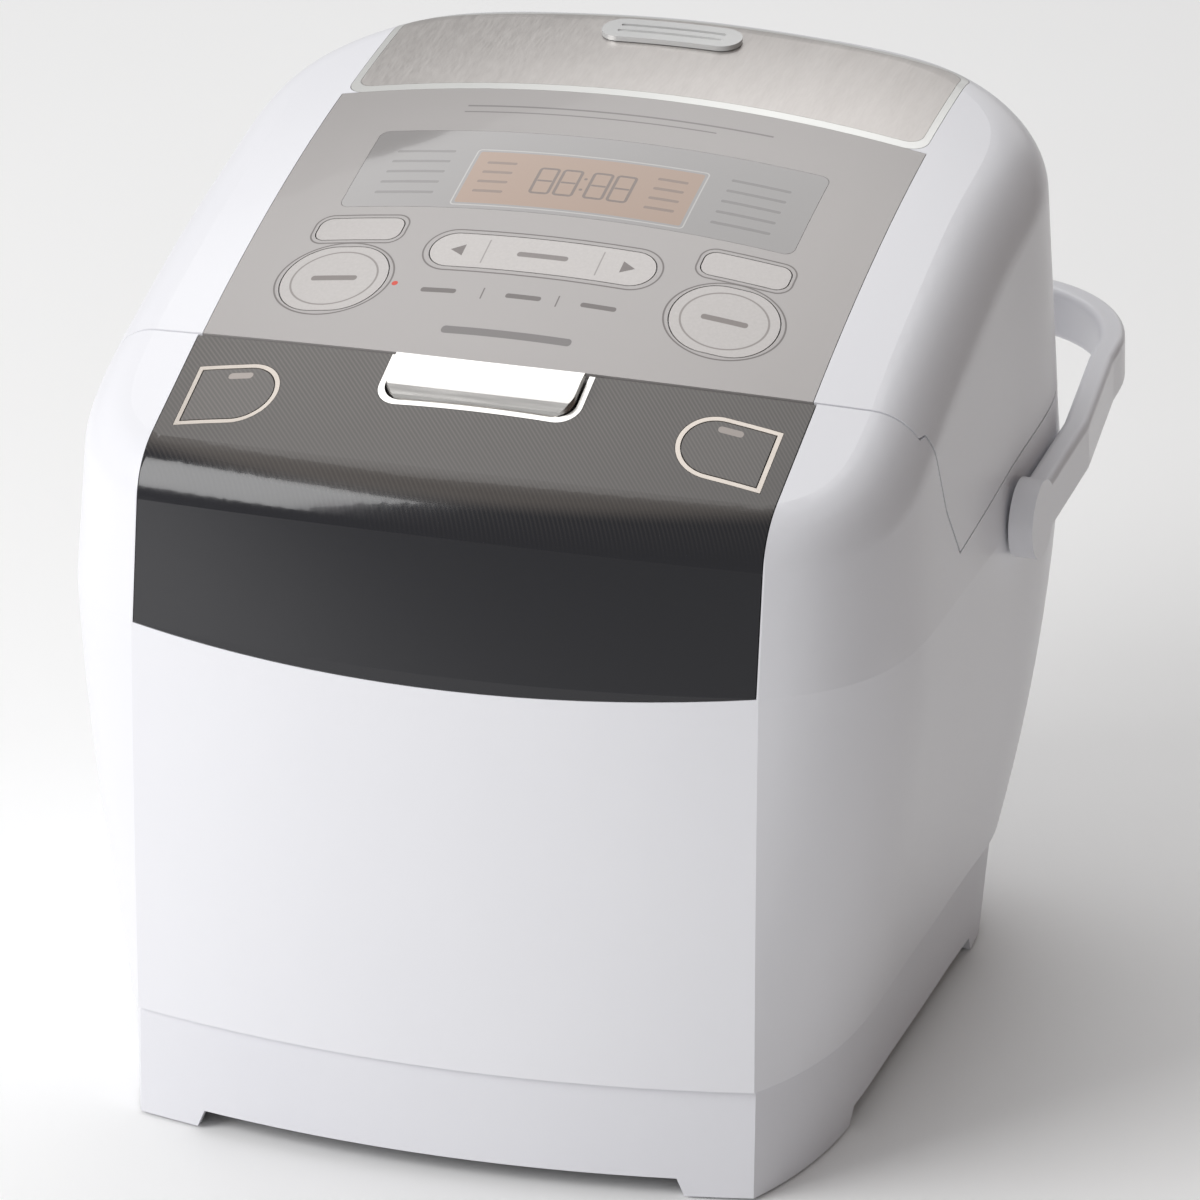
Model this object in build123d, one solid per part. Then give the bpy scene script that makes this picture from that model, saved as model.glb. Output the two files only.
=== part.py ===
from build123d import *
from functools import lru_cache
import math
import os

# Induction rice cooker with a hinged lid, a control panel on the lid, a dark front facet
# with two touch keys and a bail handle. Millimetres, Z up, the front faces -Y.
# Depths are given from the foremost point of the base and shifted to the frame on saving.

os.makedirs("parts", exist_ok=True)

# ---------------------------------------------------------------- driving dimensions
BODY_HALF = 123.0        # half-width of the body at its widest line
BODY_REAR = 259.0        # depth of the rear wall at the widest line
MID_DEPTH = 127.0        # depth of the widest place in plan
WIDEST_Z = 150.0         # height of the widest line, and of the dark panel's lower edge
FACE_HALF = 91.0         # half-width of the flat front face
FACE_BOW = 11.5          # how far the front face bows forward across its width
SQUARENESS = 5.3         # exponent of the plan's rounded-square outline
SKIRT_TOP = 33.0         # where the body overhangs the base skirt
SEAM_HEIGHT = 219.8      # top of the seam between lid and dark facet, on the centre line
SEAM_DEPTH = 61.0        # its depth
SEAM_BOW_R = 450.0       # plan radius of the lid's front seam
CROWN_R = 480.0          # crown of the lid across its width
SHELL = 3.0              # wall of the outer mouldings
SEAM_GAP = 0.6           # gap between the lid and the body
SNUG = 0.15              # gap between fixed pieces
KEY_GAP = 0.35           # gap around a key
KEY_TRAVEL = 0.5         # how far a key goes down
PIN_FIT = 0.05           # radial running fit on a pin

POT_DEPTH = 151.5        # centre of the pot
POT_R = 84.0             # pot's outer radius
POT_BOTTOM = 48.0        # height of its underside
DECK_Z = 160.0           # deck that the pot's flange rests on
DECK_T = 2.5             # thickness of the deck and of the lid's liner

HINGE_DEPTH = BODY_REAR + 3.5      # lid hinge axis
HINGE_Z = 176.5
HANDLE_DEPTH = 159.0     # bail pivot
HANDLE_Z = 152.0
HANDLE_REACH = 148.0     # pivot to the back of the crossbar
HANDLE_TILT = 4.0        # the bail rests this far above level, in degrees
TOTAL_DEPTH = HANDLE_DEPTH + HANDLE_REACH   # front of the base to the crossbar
SPAN = 200.0             # half-length of cutting blocks, wider than the body


def save(shape, name):
    """Write one node, moved so that the origin is the middle of the footprint."""
    placed = shape.moved(Location((0, -TOTAL_DEPTH / 2, 0)))
    export_step(placed, f"parts/{name}.step")


def box(x0, x1, d0, d1, z0, z1):
    """A block given by its limits."""
    size = (x1 - x0, d1 - d0, z1 - z0)
    return Solid.make_box(*size).moved(Location((x0, d0, z0)))


def rod(x, d, z0, z1, radius):
    """An upright cylinder."""
    return Solid.make_cylinder(radius, z1 - z0).moved(Location((x, d, z0)))


def cross_rod(x0, x1, d, z, radius):
    """A cylinder lying along X."""
    return Solid.make_cylinder(radius, x1 - x0, Plane((x0, d, z), z_dir=(1, 0, 0)))


def upright(points, z0, z1):
    """A prism standing on a polygon of (x, depth) points."""
    face = Face(Wire.make_polygon([(x, d, z0) for x, d in points]))
    return Solid.extrude(face, Vector(0, 0, z1 - z0))


def across(points, x0, x1):
    """A prism lying along X, from (depth, z) points."""
    face = Face(Wire.make_polygon([(x0, d, z) for d, z in points]))
    return Solid.extrude(face, Vector(x1 - x0, 0, 0))


def turned(points, x=0.0, d=POT_DEPTH):
    """A solid of revolution about an upright axis, from (radius, z) points."""
    face = Face(Wire.make_polygon([(r, 0, z) for r, z in points]))
    return Solid.revolve(face, 360, Axis.Z).moved(Location((x, d, 0)))


def rounded_slab(half_x, half_d, radius, z0, z1, x, d):
    """An upright slab with a rounded-rectangle plan, centred at x and depth d."""
    sketch = Pos(x, d, z0) * RectangleRounded(2 * half_x, 2 * half_d, radius)
    return extrude(sketch, z1 - z0, dir=(0, 0, 1)).solid()


def both_sides(solid):
    """The solid and its mirror image in the middle plane."""
    return Compound([solid, solid.mirror(Plane.YZ)])


def first(shape):
    """The largest solid of a result."""
    return max(shape.solids(), key=lambda s: s.volume)


# ---------------------------------------------------------------- the outer form
def outline(z, half, front, rear, inset):
    """Closed plan curve: a bowed front face, then a rounded square round the back."""
    half -= inset
    front += inset
    rear -= inset
    face_half = FACE_HALF - inset
    corner = front + FACE_BOW * (face_half / FACE_HALF) ** 2
    squeeze = (1 - (face_half / half) ** SQUARENESS) ** (1 / SQUARENESS)
    reach_front = (MID_DEPTH - corner) / squeeze
    start = math.atan2(-(MID_DEPTH - corner) / reach_front, face_half / half)
    points = []
    steps = 16
    for i in range(steps + 1):
        angle = start + (math.pi - 2 * start) * i / steps
        c = math.cos(angle)
        s = math.sin(angle)
        r = (abs(c) ** SQUARENESS + abs(s) ** SQUARENESS) ** (-1 / SQUARENESS)
        reach = rear - MID_DEPTH if s > 0 else reach_front
        points.append((half * r * c, MID_DEPTH + reach * r * s, z))
    face = ThreePointArc((-face_half, corner, z), (0, front, z), (face_half, corner, z))
    return Wire([face.edge(), Spline(*points).edge()])


# each level is height, half-width, depth of the front and depth of the rear
BASE_LEVELS = [(0, BODY_HALF - 19.5, 0, BODY_REAR - 21),
               (SKIRT_TOP + 1, BODY_HALF - 17.5, 2.0, BODY_REAR - 13)]
LOWER_LEVELS = [(SKIRT_TOP, BODY_HALF - 16, 0.5, BODY_REAR - 11),
                (93, BODY_HALF - 5, 1.5, BODY_REAR - 3),
                (WIDEST_Z, BODY_HALF, 3.5, BODY_REAR)]
UPPER_LEVELS = [(WIDEST_Z, BODY_HALF, 3.5, BODY_REAR),
                (275, BODY_HALF - 6, 24, BODY_REAR - 9)]
RIM_ROUND = 20.0         # rounding between the top and the walls
FACET_SLOPE = 0.42       # rise of the dark facet per unit depth
LID_SLOPE = 0.4264       # rise of the lid where it starts
LID_BEND = 0.00097       # how fast that slope fades to the rear


def centre_height(d):
    """Height of the top along the middle plane."""
    back = d - SEAM_DEPTH
    if back < 0:
        return SEAM_HEIGHT + FACET_SLOPE * back
    return SEAM_HEIGHT + LID_SLOPE * back - LID_BEND * back * back


def top_height(x, d):
    """Height of the top surface: the centre line less the crown."""
    return centre_height(d) - x * x / (2 * CROWN_R)


@lru_cache(maxsize=None)
def under_top(drop):
    """Everything below the top surface lowered by drop."""
    columns = 12
    rows = 20
    grid = []
    for i in range(columns + 1):
        x = (BODY_HALF + 9) * (2 * i / columns - 1)
        line = []
        for j in range(rows + 1):
            d = -12 + (BODY_REAR + 31) * j / rows
            line.append(Vector(x, d, top_height(x, d) - drop))
        grid.append(line)
    face = Face.make_surface_from_array_of_points(grid, tol=0.02)
    return Solid.extrude(face, Vector(0, 0, -160))


def loft(levels, inset):
    """Smooth side walls through the plan curves."""
    return Solid.make_loft([outline(*level, inset) for level in levels], len(levels) == 2)


@lru_cache(maxsize=None)
def envelope_top(inset):
    """The upper form from the widest line to the top, its rim rounded."""
    form = first(loft(UPPER_LEVELS, inset) & under_top(inset))
    rim = [e for e in form.edges() if e.center().Z > 185 and e.length > 60]
    return first(form.fillet(RIM_ROUND - inset, rim))


def seam_plane(d):
    """Height of the seam between lid and body along the sides."""
    return 162.0 + 0.092 * (d - 103.0)


def body_side(gap, deck=None):
    """Everything that belongs to the body: below the side seam, or in front of the lid.

    gap moves the boundary away from the lid; deck replaces the sloping seam by a level.
    """
    if deck is None:
        low = across([(-30, 0), (BODY_REAR + 41, 0), (BODY_REAR + 41, seam_plane(BODY_REAR + 41) - gap),
                      (103, seam_plane(103) - gap), (-30, 162 - gap)], -SPAN, SPAN)
    else:
        low = box(-SPAN, SPAN, -30, BODY_REAR + 41, 0, deck - gap)
    front = box(-SPAN + 10, SPAN - 10, -20, 130, 140, 300)
    lid_side = Solid.make_cylinder(SEAM_BOW_R + gap, 200).moved(
        Location((0, SEAM_DEPTH + SEAM_BOW_R, 120)))
    wing_profile = [(30, 130), (30, 205 - gap), (80 - gap, 205 - gap), (91 - gap, 179 - gap),
                    (110 - gap, 152 - gap), (110 - gap, 130)]
    wing = across(wing_profile, FACE_HALF + 5 + gap, SPAN - 5)
    zone = first(low + first(front - lid_side))
    zone = zone + wing
    return first(zone + wing.mirror(Plane.YZ))


outer_low = loft(LOWER_LEVELS, 0)
inner_low = loft(LOWER_LEVELS, SHELL)
outer_top = envelope_top(0)
inner_top = envelope_top(SHELL)
snug_top = envelope_top(SHELL + SNUG)
thin_top = envelope_top(1.2)
zone_body = body_side(0)
zone_lid_gap = body_side(-SEAM_GAP)

# ---------------------------------------------------------------- base
NOTCH = 5.9              # height of the gaps between the skirt's corner legs
PLATE_Z = 5.0            # underside of the base plate
FOOT_SPOTS = [(-76, 42), (76, 42), (-76, 208), (76, 208)]
FOOT_R = 10.0

skirt = loft(BASE_LEVELS, 0) - loft(BASE_LEVELS, SHELL)
skirt = skirt - box(-SPAN, SPAN, -20, BODY_REAR + 41, SKIRT_TOP - SNUG, 60)
skirt = skirt - box(-SPAN, SPAN, -20, BODY_REAR + 41, -1, 0.8)
for low_half, high_half, d0, d1 in [(73.0, 70.0, -20, 60), (73.0, 70.0, 200, 290)]:
    skirt = skirt - Solid.extrude(Face(Wire.make_polygon(
        [(-low_half, d0, -1), (low_half, d0, -1), (high_half, d0, NOTCH),
         (-high_half, d0, NOTCH)])), Vector(0, d1 - d0, 0))
skirt = skirt - across([(62, -1), (188, -1), (184, NOTCH), (66, NOTCH)], -SPAN, SPAN)
skirt = first(skirt)
save(skirt, "base_skirt")

plate = box(-SPAN, SPAN, -10, BODY_REAR + 21, PLATE_Z, PLATE_Z + 2.5) & loft(BASE_LEVELS, SHELL + SNUG)
FAN_X = -52.0
FAN_DEPTH = 205.0
for i in range(7):
    offset = -18 + 6 * i
    plate = plate - box(FAN_X - 20, FAN_X + 20, FAN_DEPTH + offset - 1.5,
                        FAN_DEPTH + offset + 1.5, 0, 12)
for i in range(8):
    slot_x = -42 + 12 * i
    plate = plate - box(slot_x - 2, slot_x + 2, 70, 100, 0, 12)
SCREW_SPOTS = [(-88, 75), (88, 75), (-88, 175), (88, 175), (-30, 30), (30, 30)]
for x, d in SCREW_SPOTS:
    plate = plate - rod(x, d, 0, 12, 2.2)
save(first(plate), "base_plate")

feet = []
for x, d in FOOT_SPOTS:
    pad = Solid.make_cone(FOOT_R - 1.0, FOOT_R, PLATE_Z).moved(Location((x, d, 0)))
    feet.append(pad)
save(Compound(feet), "rubber_feet")

screws = []
for x, d in SCREW_SPOTS:
    head = rod(x, d, PLATE_Z - 1.8, PLATE_Z - 0.1, 3.6)
    head = head - box(x - 2.6, x + 2.6, d - 0.4, d + 0.4, PLATE_Z - 2, PLATE_Z - 1)
    head = head - box(x - 0.4, x + 0.4, d - 2.6, d + 2.6, PLATE_Z - 2, PLATE_Z - 1)
    screws.append(first(head + rod(x, d, PLATE_Z - 0.2, PLATE_Z + 9, 1.9)))
save(Compound(screws), "base_screws")

# ---------------------------------------------------------------- body shell and front panel
PANEL_T = 1.8            # thickness of the dark front panel and of the lid's panel
LATCH_HALF = 29.7        # half-width of the latch notch
LATCH_FRONT = 43.2       # depth of its front edge
LATCH_WALL = 1.8         # bright liner round the latch
GLAND_X = 62.0
GLAND_Z = 52.0
EDGE_DIP = 3.7           # the panel's lower edge is lower in the middle


def facet_prism(margin):
    """Region of the dark panel seen from the front, grown by margin."""
    half = FACE_HALF - 0.8 + margin
    low = WIDEST_Z - margin
    arc = ThreePointArc((-half, -20, low), (0, -20, low - EDGE_DIP), (half, -20, low))
    rest = Polyline((half, -20, low), (half, -20, 300), (-half, -20, 300), (-half, -20, low))
    return Solid.extrude(Face(Wire([arc.edge()] + list(rest.edges()))), Vector(0, 100, 0))


def latch_prism(shrink):
    """Plan of the latch notch, open towards the lid."""
    half = LATCH_HALF - shrink
    return rounded_slab(half, 14, 7 - shrink / 2, 190, 240, 0, LATCH_FRONT + shrink + 14)


def key_plan(shrink, z0, z1):
    """D-shaped plan of the left touch key, round towards the middle."""
    outer_x = -85.0
    inner_x = -58.0
    near = 35.2
    far = 57.2
    round_r = (far - near) / 2
    middle = (near + far) / 2
    bar = box(outer_x, inner_x - round_r, near, far, z0, z1)
    nose = rod(inner_x - round_r, middle, z0, z1, round_r)
    shape = first(bar + nose)
    if shrink == 0:
        return shape
    bar = box(outer_x + shrink, inner_x - round_r, near + shrink, far - shrink, z0, z1)
    nose = rod(inner_x - round_r, middle, z0, z1, round_r - shrink)
    return first(bar + nose)


skin_top = envelope_top(PANEL_T)
skin_low = loft(LOWER_LEVELS, PANEL_T)
upper_shell = first((outer_top - inner_top) & zone_body)
upper_shell = upper_shell - ((facet_prism(0.3) & outer_top) - envelope_top(PANEL_T + 0.1))
upper_shell = first(upper_shell) - latch_prism(0)
for hole in both_sides(key_plan(2.5, 180, 230)).solids():
    upper_shell = first(upper_shell) - hole
lower_shell = first(outer_low - inner_low)
lower_pocket = (facet_prism(0.3) & outer_low) - loft(LOWER_LEVELS, PANEL_T + 0.1)
lower_shell = first(lower_shell - lower_pocket)
lower_shell = lower_shell - Solid.make_cylinder(
    7.2, 30, Plane((GLAND_X, BODY_REAR - 19, GLAND_Z), z_dir=(0, 1, 0)))
shell = first(first(lower_shell) + first(upper_shell))
handle_hole = cross_rod(BODY_HALF - 18, BODY_HALF + 17, HANDLE_DEPTH, HANDLE_Z, 4.0 + SNUG)
for hole in both_sides(handle_hole).solids():
    shell = first(shell - hole)
HINGE_SPAN = 46.0        # half-length of the hinge
shell = first(shell)

front_skin = outer_top - skin_top
upper_panel = first(first(front_skin & facet_prism(0)) & body_side(0.4))
lower_panel = (outer_low - skin_low) & facet_prism(0)
panel = first(first(upper_panel - latch_prism(0)) + first(lower_panel))
KEY_RING = 1.3           # width of the silver outline round a front key
for hole in both_sides(key_plan(-SNUG, 170, 240)).solids():
    panel = first(panel - hole)
save(panel, "front_panel")

ring_left = key_plan(0, 170, 240) - key_plan(KEY_RING, 160, 250)
ring_left = first(ring_left & front_skin)
save(both_sides(ring_left), "front_key_rings")

for name, side in (("weigh_key", 1), ("calorie_key", -1)):
    cap = (outer_top - thin_top) & key_plan(KEY_RING + KEY_GAP, 170, 240)
    stem = rod(-70, 46.2, 203.8, 206.7, 2.6)
    key = first(first(cap) + stem)
    if side < 0:
        key = key.mirror(Plane.YZ)
    save(key, name)

boards = []
board = box(-88, -40, -13, 13, -0.8, 0.8) + box(-73.2, -66.8, -3.2, 3.2, 0.7, 3.6)
tilt = Location((0, 44.0, 198.2), (math.degrees(math.atan(FACET_SLOPE)), 0, 0))
save(both_sides(first(board).moved(tilt)), "front_switch_boards")

liner = latch_prism(SNUG) - latch_prism(LATCH_WALL)
liner = liner & body_side(0.4)
liner = liner & outer_top
liner = first(liner) - under_top(9.0)
save(first(liner), "latch_bezel")

# ---------------------------------------------------------------- upper frame and deck
deck_zone = first(body_side(0, DECK_Z) - body_side(DECK_T, DECK_Z))
frame = deck_zone & first(loft(LOWER_LEVELS, SHELL + SNUG) + snug_top)
frame = first(frame)
frame = frame - box(-SPAN, SPAN, -20, 300, 0, DECK_Z - DECK_T - 0.01)
frame = frame - rod(0, POT_DEPTH, 140, 170, POT_R + 2.5)
HOOK_HALF = 6.0          # half-width of the latch hook
frame = frame - box(-HOOK_HALF - 1, HOOK_HALF + 1, 50, 70, 182, 202)
frame = frame - latch_prism(-SNUG)
save(first(frame), "upper_frame")

# ---------------------------------------------------------------- latch
BUTTON_TRAVEL = 1.5      # how far the latch button goes down
HOOK_PIVOT = (54.0, 177.0)
button_profile = [(45.6, 211.0), (46.2, 213.8), (48.0, 216.0), (51.5, 218.2),
                  (55.5, 220.0), (59.0, 221.0), (60.0, 220.4), (60.0, 213.5), (58.0, 211.0),
                  (50.0, 207.5)]
button_half = LATCH_HALF - LATCH_WALL - 0.5
button = across(button_profile, -button_half, button_half)
button = button & latch_prism(LATCH_WALL + 0.5)
button = first(button + box(-3, 3, 45.2, 48.2, 189.8, 212))
save(button, "latch_button")

hook_profile = [(43.5, 186.0), (43.5, 188.8), (52.0, 188.8), (52.0, 193.5), (61.3, 193.5),
                (61.3, 191.0), (58.0, 189.8), (57.0, 173.0), (51.0, 173.0), (51.0, 186.0)]
hook = across(hook_profile, -HOOK_HALF, HOOK_HALF)
hook = hook + cross_rod(-HOOK_HALF, HOOK_HALF, *HOOK_PIVOT, 4.2)
hook = first(hook) - cross_rod(-20, 20, *HOOK_PIVOT, 1.5 + PIN_FIT)
save(first(hook), "latch_hook")
save(cross_rod(-12, 12, *HOOK_PIVOT, 1.5), "latch_pin")

bracket = box(-12, -8, 48, 58.0, 171, 183) + box(8, 12, 48, 58.0, 171, 183)
bracket = bracket + box(-12, 12, 48, 58.0, 168.5, 171.0)
bracket = first(bracket) - cross_rod(-20, 20, *HOOK_PIVOT, 1.5 + SNUG)
save(first(bracket), "latch_bracket")


def coil_spring(radius, wire, turns, height):
    """A coil spring standing on its lower end, its axis on Z."""
    helix = Helix(height / turns, height, radius)
    start = helix @ 0
    profile = Plane(start, z_dir=helix % 0) * Circle(wire)
    return sweep(profile, path=helix).solid()


spring = coil_spring(2.6, 0.4, 5, 13.0).moved(Location((20, 52.6, 193.0)))
save(both_sides(spring), "latch_springs")
seat = box(15, 25, 47, 58.3, 190.0, 192.4)
save(both_sides(seat), "latch_spring_seats")

# ---------------------------------------------------------------- hinge
KNUCKLE_R = 5.0
HINGE_PIN_R = 2.0
LID_KNUCKLE = 28.0       # half-length of the lid's middle knuckle
LEAF_T = 2.0


rear_form = loft(UPPER_LEVELS, -SNUG)
REAR_WALL = BODY_REAR + 0.2


def leaf(x0, x1, z0, z1):
    """A hinge leaf lying against the outside of the rear wall."""
    return first(box(x0, x1, REAR_WALL - 6, REAR_WALL + LEAF_T, z0, z1) - rear_form)


body_leaf = leaf(-HINGE_SPAN, HINGE_SPAN, 152, 170)
for x0, x1 in ((-HINGE_SPAN, -LID_KNUCKLE - 0.5), (LID_KNUCKLE + 0.5, HINGE_SPAN)):
    body_leaf = body_leaf + cross_rod(x0, x1, HINGE_DEPTH, HINGE_Z, KNUCKLE_R)
    body_leaf = body_leaf + leaf(x0, x1, 168, HINGE_Z)
body_leaf = first(body_leaf) - cross_rod(-80, 80, HINGE_DEPTH, HINGE_Z, HINGE_PIN_R + 0.02)
HINGE_SCREWS = [-38.0, -14.0, 14.0, 38.0]
for x in HINGE_SCREWS:
    body_leaf = body_leaf - Solid.make_cylinder(
        1.7, 10, Plane((x, BODY_REAR - 4, 164), z_dir=(0, 1, 0)))
save(first(body_leaf), "body_hinge_leaf")
save(cross_rod(-HINGE_SPAN - 1, HINGE_SPAN + 1, HINGE_DEPTH, HINGE_Z, HINGE_PIN_R), "hinge_pin")


def rear_screw(x, z, wall):
    """A round-headed screw driven forwards into the rear wall."""
    shank = Solid.make_cylinder(1.5, 8, Plane((x, wall - 6, z), z_dir=(0, 1, 0)))
    head = Solid.make_cylinder(2.9, 1.6, Plane((x, wall + LEAF_T, z), z_dir=(0, 1, 0)))
    slot = box(x - 2.0, x + 2.0, wall + LEAF_T + 1.0, wall + LEAF_T + 3, z - 0.3, z + 0.3)
    return first(first(shank + head) - slot)


save(Compound([rear_screw(x, 164, REAR_WALL) for x in HINGE_SCREWS]), "body_hinge_screws")
for x in HINGE_SCREWS:
    shell = shell - Solid.make_cylinder(1.6, 20, Plane((x, BODY_REAR - 11, 164), z_dir=(0, 1, 0)))
hinge_room = cross_rod(-HINGE_SPAN - 2, HINGE_SPAN + 2, HINGE_DEPTH, HINGE_Z, KNUCKLE_R + 0.7)
shell = first(shell) - hinge_room
save(first(shell), "body_shell")

gland = Solid.make_cylinder(9.5, 7.5, Plane((GLAND_X, BODY_REAR - 12, GLAND_Z), z_dir=(0, 1, 0)))
gland = first(gland - loft(LOWER_LEVELS, -SNUG))
gland = gland + Solid.make_cylinder(7.0, 9.0, Plane((GLAND_X, BODY_REAR - 14, GLAND_Z), z_dir=(0, 1, 0)))
gland = first(gland) - Solid.make_cylinder(
    3.6, 40, Plane((GLAND_X, BODY_REAR - 29, GLAND_Z), z_dir=(0, 1, 0)))
save(first(gland), "cord_gland")

# ---------------------------------------------------------------- bail handle
ARM_T = 7.5              # thickness of the bail
ARM_H = 16.0             # its height
PIVOT_HALF = BODY_HALF + 8.0       # half-width over the bail at its pivots
PIVOT_R = 4.0
BOSS_R = 11.5


def bail_outline(shrink):
    """Plan of the bail: straight arms closing in slightly, then a rounded crossbar."""
    wide = PIVOT_HALF - shrink
    reach = HANDLE_REACH - shrink
    half = [(wide, 0), (wide, 50), (wide - 5, 96), (wide - 6, reach)]
    mirrored = [(-x, y) for x, y in reversed(half)]
    face = make_face(Polyline(*half, *mirrored, close=True))
    corners = [v for v in face.vertices() if v.Y > reach - 0.01]
    return fillet(corners, 44 - shrink)


bail = extrude(bail_outline(0), ARM_H / 2, both=True)
hollow = extrude(bail_outline(ARM_T), ARM_H, both=True)
hollow = hollow + Box(2 * (PIVOT_HALF - ARM_T), 40, 60)
bail = first(bail - hollow)
rims = [e for e in bail.edges()
        if abs(abs(e.center().Z) - ARM_H / 2) < 0.01 and e.center().Y > 5]
bail = bail.fillet(2.2, rims)
for sign in (-1, 1):
    x0 = sign * PIVOT_HALF
    x1 = sign * (PIVOT_HALF - ARM_T + 0.4)
    bail = bail + cross_rod(min(x0, x1), max(x0, x1), 0, 0, BOSS_R)
bail = first(bail)
for sign in (-1, 1):
    x0 = sign * (PIVOT_HALF - 2.5)
    x1 = sign * (PIVOT_HALF - 31)
    bail = bail - cross_rod(min(x0, x1), max(x0, x1), 0, 0, PIVOT_R + PIN_FIT)
bail = first(bail).rotate(Axis.X, HANDLE_TILT).moved(Location((0, HANDLE_DEPTH, HANDLE_Z)))
save(bail, "handle")
pin_out = PIVOT_HALF - 2.8
pivot = first(cross_rod(BODY_HALF - 11, pin_out, HANDLE_DEPTH, HANDLE_Z, PIVOT_R)
              + cross_rod(BODY_HALF - 11, BODY_HALF - SHELL - 0.6, HANDLE_DEPTH, HANDLE_Z, 5.3))
save(both_sides(pivot), "handle_pivots")

# ---------------------------------------------------------------- pot and heater
POT_WALL = 2.0
FLANGE_R = POT_R + 4.5


def cup(radius, rim_z, bottom_z, corner, wall, flange):
    """Revolved cup profile with a rounded bottom and an outward flange at the rim."""
    inner_r = radius - wall
    profile = [(0, bottom_z)]
    steps = 8
    for i in range(steps + 1):
        angle = math.pi / 2 * i / steps
        profile.append((radius - corner + corner * math.sin(angle),
                        bottom_z + corner - corner * math.cos(angle)))
    profile.append((radius, rim_z - wall))
    if flange:
        profile.append((flange, rim_z - wall))
        profile.append((flange, rim_z))
    else:
        profile.append((radius, rim_z))
    profile.append((inner_r, rim_z))
    for i in range(steps, -1, -1):
        angle = math.pi / 2 * i / steps
        profile.append((radius - corner + (corner - wall) * math.sin(angle),
                        bottom_z + corner - (corner - wall) * math.cos(angle)))
    profile.append((0, bottom_z + wall))
    return turned(profile)


pot = cup(POT_R, DECK_Z + 0.1 + POT_WALL, POT_BOTTOM, 26, POT_WALL, FLANGE_R)
save(pot, "inner_pot")
CUP_GAP = 2.0
liner_cup = cup(POT_R + CUP_GAP + 1.6, DECK_Z - DECK_T - 0.2, POT_BOTTOM - CUP_GAP - 1.6, 28, 1.6,
                POT_R + 12)
SENSOR_R = 9.0
liner_cup = liner_cup - rod(0, POT_DEPTH, 30, 60, SENSOR_R + 1.0)
save(first(liner_cup), "heater_cup")

COIL_Z = 40.0


def ring(radius, z, wire):
    """One winding of the heating coil."""
    return Solid.make_torus(radius, wire).moved(Location((0, POT_DEPTH, z)))


windings = [ring(22 + 5.2 * i, COIL_Z, 2.4) for i in range(6)]
for i in range(3):       # three more windings follow the pot's rounded corner
    angle = math.radians(45 + 12 * i)
    windings.append(ring(59.6 + 31 * math.sin(angle), 72.4 - 31 * math.cos(angle), 2.4))
save(Compound(windings), "induction_coil")

carrier_top = [(14, 37.2), (56, 37.2)]
carrier_low = [(14, 34.0), (56, 34.0)]
for i in range(5):
    angle = math.radians(15 + 15 * i)
    carrier_top.append((59.6 + 33.8 * math.sin(angle), 72.4 - 33.8 * math.cos(angle)))
    carrier_low.append((59.6 + 36.8 * math.sin(angle), 72.4 - 36.8 * math.cos(angle)))
carrier = turned(carrier_top + carrier_low[::-1])
for i in range(6):
    angle = math.radians(60 * i + 30)
    hole = box(24, 56, -4.5, 4.5, 30, 39.5).rotate(Axis.Z, math.degrees(angle))
    carrier = carrier - hole.moved(Location((0, POT_DEPTH, 0)))
save(first(carrier), "coil_carrier")
bars = []
for i in range(6):
    bar = box(24.3, 55.7, -4.2, 4.2, 31.5, 36.8).rotate(Axis.Z, 60 * i + 30)
    bars.append(bar.moved(Location((0, POT_DEPTH, 0))))
save(Compound(bars), "ferrite_bars")

sensor = rod(0, POT_DEPTH, 41.5, POT_BOTTOM - 0.3, SENSOR_R)
sensor = first(sensor + rod(0, POT_DEPTH, 31.0, 42, 3.0))
save(sensor, "pot_sensor")
spring = coil_spring(5.5, 0.5, 4, 7.6).moved(Location((0, POT_DEPTH, 33.2)))
save(spring, "sensor_spring")
holder = rod(0, POT_DEPTH, 27.6, 32.6, 13.5) - rod(0, POT_DEPTH, 28.0, 40, 3.4)
save(first(holder), "sensor_holder")

# ---------------------------------------------------------------- scale, power and cooling
WEIGH_Z = 24.5
weigh = rounded_slab(94, 70, 18, WEIGH_Z, WEIGH_Z + 3, 0, POT_DEPTH)
weigh = weigh - rounded_slab(30, 30, 10, WEIGH_Z - 1, WEIGH_Z + 4, 0, POT_DEPTH)
spider = box(-40, 40, POT_DEPTH - 15, POT_DEPTH + 15, WEIGH_Z, WEIGH_Z + 3)
weigh = first(weigh + spider)
for i in range(4):
    angle = math.radians(90 * i + 45)
    post = rod(56 * math.cos(angle), POT_DEPTH + 56 * math.sin(angle), WEIGH_Z + 2, 33.8, 4)
    weigh = first(weigh + post)
save(weigh, "weighing_frame")
cells = []
for x in (-88.0, 88.0):
    for d in (108.0, 180.0):
        cell = box(x - 6, x + 6, d, d + 34, 12, 22)
        cell = cell - cross_rod(x - 8, x + 8, d + 12, 17, 2.8)
        cell = cell - cross_rod(x - 8, x + 8, d + 20, 17, 2.8)
        top_pad = box(x - 6, x + 6, d, d + 8, 21.9, WEIGH_Z - 0.1)
        low_pad = box(x - 6, x + 6, d + 26, d + 34, PLATE_Z + 2.6, 12.1)
        cells.append(first(first(cell + top_pad) + low_pad))
save(Compound(cells), "load_cells")

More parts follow.
